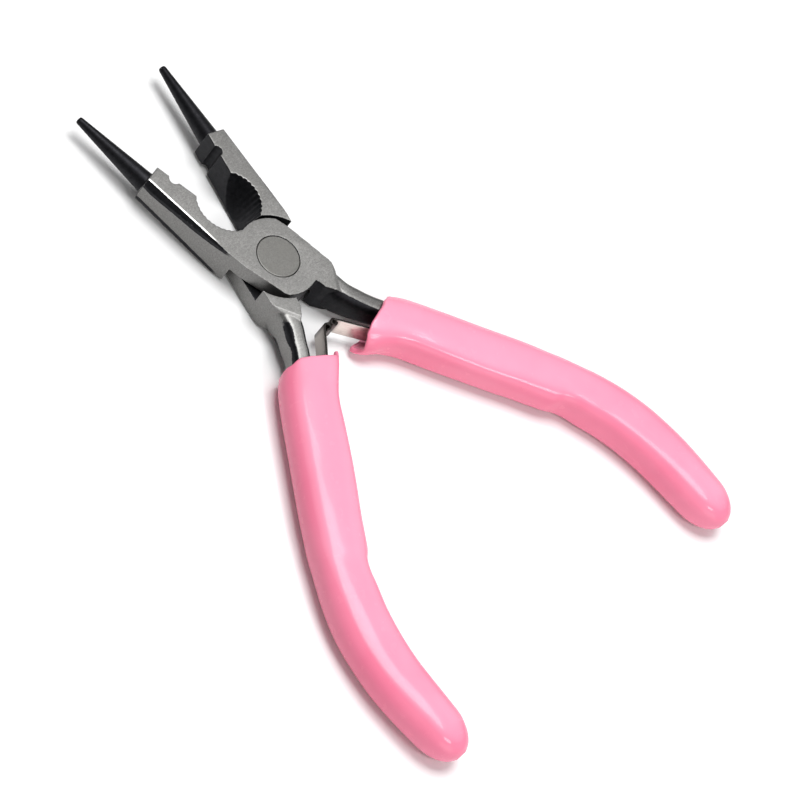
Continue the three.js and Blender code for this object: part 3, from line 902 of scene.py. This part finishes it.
for side in ("upper", "lower"):
    half = forging(side)
    dress(half, steel, side + "_half")
    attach(half, BODY[side])

    strip = leaf(side)
    dress(strip, spring_metal, HAND[side] + "_leaf_spring")
    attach(strip, HAND[side] + "_leaf")

    grip = sleeve(side)
    dress(grip, pink, HAND[side] + "_grip_sleeve")
    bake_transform(grip)

    # the rivet under the sleeve is out of sight, so the CAD's own shape stays
    coat(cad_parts[HAND[side] + "_spring_rivet"], rivet_metal)

rivet = pivot_rivet()
dress(rivet, rivet_metal, "pivot_rivet")
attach(rivet, "lower_body")

# ---------- floor, light and camera ----------


def floor_paper():
    m = Nodes("floor_paper")
    speck = m.noise(m.place((0.01, 0.01, 0.01)), 4, 2)
    pale = FLOOR_GREY * 0.99
    m.set(Base_Color=m.ramp(speck, [(0.3, (FLOOR_GREY,) * 3), (0.7, (pale,) * 3)]), Roughness=0.7)
    return m.material


FLOOR_GREY = 0.93
FLOOR_REACH = 3.0  # metres from the middle
FLOOR_GAP = 0.00002
corners = [(-1, -1), (1, -1), (1, 1), (-1, 1)]
corners = [(x * FLOOR_REACH, y * FLOOR_REACH, 0) for x, y in corners]
floor = mesh_object("floor", corners, [(0, 1, 2, 3)])
floor.data.transform(Matrix.Translation((0, 0, cad_box[0].z - FLOOR_GAP)))
floor.data.materials.append(floor_paper())

world = bpy.data.worlds.new("studio")
world.use_nodes = True
background = world.node_tree.nodes["Background"]
background.inputs["Color"].default_value = (1.0, 1.0, 1.0, 1)
background.inputs["Strength"].default_value = 0.2
bpy.context.scene.world = world

LIGHT_TARGET = Vector((-0.0009, -0.0317, THICKNESS * MM))


def area_light(name, direction, distance, width, height, power):
    """A rectangular light, this far from the tool and turned to it. Sizes are in metres."""
    light = bpy.data.lights.new(name, "AREA")
    light.shape = "RECTANGLE"
    light.size, light.size_y = width, height
    light.energy = power
    obj = linked(name, light)
    obj.location = LIGHT_TARGET + Vector(direction).normalized() * distance
    obj.rotation_mode = "QUATERNION"
    obj.rotation_quaternion = (LIGHT_TARGET - obj.location).to_track_quat("-Z", "Y")


area_light("softbox", (0.14, 0.12, 1.0), 0.7, 0.42, 0.36, 4.6)
area_light("side", (1.0, -0.2, 0.5), 0.9, 0.25, 0.9, 0.8)
area_light("fill", (-0.7, -1.0, 0.42), 0.9, 0.5, 0.5, 1.8)
area_light("crest", (-0.2, -0.6, 0.79), 0.7, 0.14, 0.14, 1.0)

# the photo's angle
CAMERA_TARGET = Vector((-0.0009015, -0.031742, 0.0068))
CAMERA_DISTANCE = 0.632
CAMERA_LENS = 170.37
AZIMUTH, ELEVATION, ROLL = math.radians(-82.3), math.radians(51.1), math.radians(42.5)
level_part = math.cos(ELEVATION)
back = Vector((
    math.sin(AZIMUTH) * level_part, -math.cos(AZIMUTH) * level_part, math.sin(ELEVATION)
))
level = Vector((0, 0, 1)).cross(back).normalized()
upright = back.cross(level)
right = level * math.cos(ROLL) + upright * math.sin(ROLL)
up = upright * math.cos(ROLL) - level * math.sin(ROLL)
camera = linked("camera", bpy.data.cameras.new("camera"))
camera.data.sensor_width = 36.0
camera.data.lens = CAMERA_LENS
camera.data.clip_start, camera.data.clip_end = 0.01, 20.0
place = Matrix((right, up, back)).transposed().to_4x4()
place.translation = CAMERA_TARGET + back * CAMERA_DISTANCE
camera.matrix_world = place
bpy.context.scene.camera = camera
bpy.context.scene.view_settings.view_transform = "Standard"
